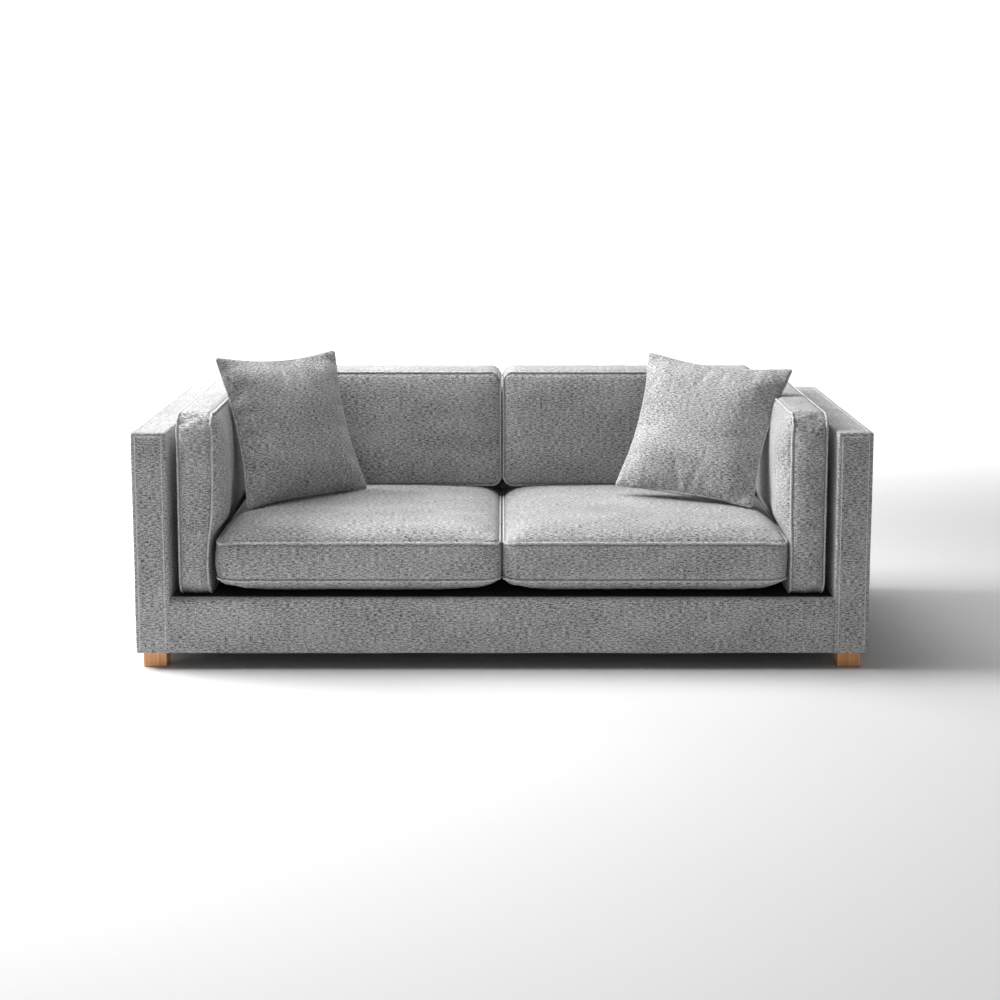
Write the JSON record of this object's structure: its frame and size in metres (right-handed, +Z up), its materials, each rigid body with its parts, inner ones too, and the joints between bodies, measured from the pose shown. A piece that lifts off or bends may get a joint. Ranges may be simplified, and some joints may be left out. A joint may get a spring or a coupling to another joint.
{
  "type": "sofa",
  "caption": "Low box-arm sofa with loose seat, back, side and scatter cushions in grey woven cloth on short square wooden legs.",
  "frame": {"origin": "on the floor under the middle of the sofa", "axes": "+X along the width, +Y to the back, +Z up"},
  "size_m": [2.2, 0.95, 0.9033],
  "materials": {
    "pine": "sawn softwood, hidden",
    "leg_wood": "light hardwood block, satin lacquer",
    "hardboard": "pressed fibre board, hidden",
    "spring_steel": "bare drawn wire",
    "zinc_steel": "zinc plated fasteners",
    "nylon": "moulded nylon",
    "felt": "needled felt pad, hidden",
    "deck_cloth": "dark non-woven deck cloth",
    "webbing": "woven elastic webbing, hidden",
    "foam": "polyurethane foam, hidden",
    "fibre": "polyester fibre filling, hidden",
    "upholstery": "grey melange woven upholstery cloth",
    "zip_metal": "dark plated zip slider"
  },
  "bodies": {
    "root": {"front_rail": "pine", "back_rail": "pine", "left_side_rail": "pine", "right_side_rail": "pine", "base_braces": "pine", "seat_springs": "spring_steel", "spring_clips": "nylon", "deck_pad": "felt", "deck_cloth": "deck_cloth", "front_foam": "foam", "front_border": "upholstery", "dust_cover": "deck_cloth", "left_arm_posts": "pine", "left_arm_members": "pine", "left_arm_boards": "hardboard", "left_arm_foam": "foam", "left_arm_cover": "upholstery", "right_arm_posts": "pine", "right_arm_members": "pine", "right_arm_boards": "hardboard", "right_arm_foam": "foam", "right_arm_cover": "upholstery", "back_posts": "pine", "back_top_member": "pine", "back_webbing": "webbing", "back_foam": "foam", "back_cover": "upholstery", "front_left_leg": "leg_wood", "front_right_leg": "leg_wood", "rear_left_leg": "leg_wood", "rear_right_leg": "leg_wood", "leg_bolts": "zinc_steel", "leg_tnuts": "zinc_steel", "floor_glides": "nylon", "frame_bolts": "zinc_steel"},
    "left_seat_cushion": {"left_seat_cover": "upholstery", "left_seat_core": "foam"},
    "left_seat_zip": {"left_seat_zip_slider": "zip_metal"},
    "right_seat_cushion": {"right_seat_cover": "upholstery", "right_seat_core": "foam"},
    "right_seat_zip": {"right_seat_zip_slider": "zip_metal"},
    "left_back_cushion": {"left_back_cover": "upholstery", "left_back_core": "fibre"},
    "left_back_zip": {"left_back_zip_slider": "zip_metal"},
    "right_back_cushion": {"right_back_cover": "upholstery", "right_back_core": "fibre"},
    "right_back_zip": {"right_back_zip_slider": "zip_metal"},
    "left_side_cushion": {"left_side_cover": "upholstery", "left_side_core": "fibre"},
    "left_side_zip": {"left_side_zip_slider": "zip_metal"},
    "right_side_cushion": {"right_side_cover": "upholstery", "right_side_core": "fibre"},
    "right_side_zip": {"right_side_zip_slider": "zip_metal"},
    "left_pillow_cushion": {"left_pillow_cover": "upholstery", "left_pillow_core": "fibre"},
    "left_pillow_zip": {"left_pillow_zip_slider": "zip_metal"},
    "right_pillow_cushion": {"right_pillow_cover": "upholstery", "right_pillow_core": "fibre"},
    "right_pillow_zip": {"right_pillow_zip_slider": "zip_metal"}
  },
  "joints": [
    {"name": "left_seat_slide", "type": "slide", "parent": "root", "child": "left_seat_cushion", "axis": [0, -1, 0], "range_m": [0, 0.86]},
    {"name": "left_back_lift", "type": "slide", "parent": "root", "child": "left_back_cushion", "axis": [0, 0, 1], "range_m": [0, 0.4]},
    {"name": "left_side_slide", "type": "slide", "parent": "root", "child": "left_side_cushion", "axis": [0, -1, 0], "range_m": [0, 0.86]},
    {"name": "left_pillow_lift", "type": "slide", "parent": "root", "child": "left_pillow_cushion", "axis": [0, 0, 1], "range_m": [0, 0.5]},
    {"name": "right_seat_slide", "type": "slide", "parent": "root", "child": "right_seat_cushion", "axis": [0, -1, 0], "range_m": [0, 0.86]},
    {"name": "right_back_lift", "type": "slide", "parent": "root", "child": "right_back_cushion", "axis": [0, 0, 1], "range_m": [0, 0.4]},
    {"name": "right_side_slide", "type": "slide", "parent": "root", "child": "right_side_cushion", "axis": [0, -1, 0], "range_m": [0, 0.86]},
    {"name": "right_pillow_lift", "type": "slide", "parent": "root", "child": "right_pillow_cushion", "axis": [0, 0, 1], "range_m": [0, 0.5]},
    {"name": "left_seat_zip_travel", "type": "slide", "parent": "left_seat_cushion", "child": "left_seat_zip", "axis": [1, 0, 0], "range_m": [0, 0.63]},
    {"name": "left_back_zip_travel", "type": "slide", "parent": "left_back_cushion", "child": "left_back_zip", "axis": [1, 0, 0], "range_m": [0, 0.63]},
    {"name": "left_side_zip_travel", "type": "slide", "parent": "left_side_cushion", "child": "left_side_zip", "axis": [0, -1, 0], "range_m": [0, 0.59]},
    {"name": "left_pillow_zip_travel", "type": "slide", "parent": "left_pillow_cushion", "child": "left_pillow_zip", "axis": [0.7431, 0.6691, 0], "range_m": [0, 0.33]},
    {"name": "right_seat_zip_travel", "type": "slide", "parent": "right_seat_cushion", "child": "right_seat_zip", "axis": [1, 0, 0], "range_m": [0, 0.63]},
    {"name": "right_back_zip_travel", "type": "slide", "parent": "right_back_cushion", "child": "right_back_zip", "axis": [1, 0, 0], "range_m": [0, 0.63]},
    {"name": "right_side_zip_travel", "type": "slide", "parent": "right_side_cushion", "child": "right_side_zip", "axis": [0, -1, 0], "range_m": [0, 0.59]},
    {"name": "right_pillow_zip_travel", "type": "slide", "parent": "right_pillow_cushion", "child": "right_pillow_zip", "axis": [0.9067, -0.4169, -0.0632], "range_m": [0, 0.33]}
  ]
}
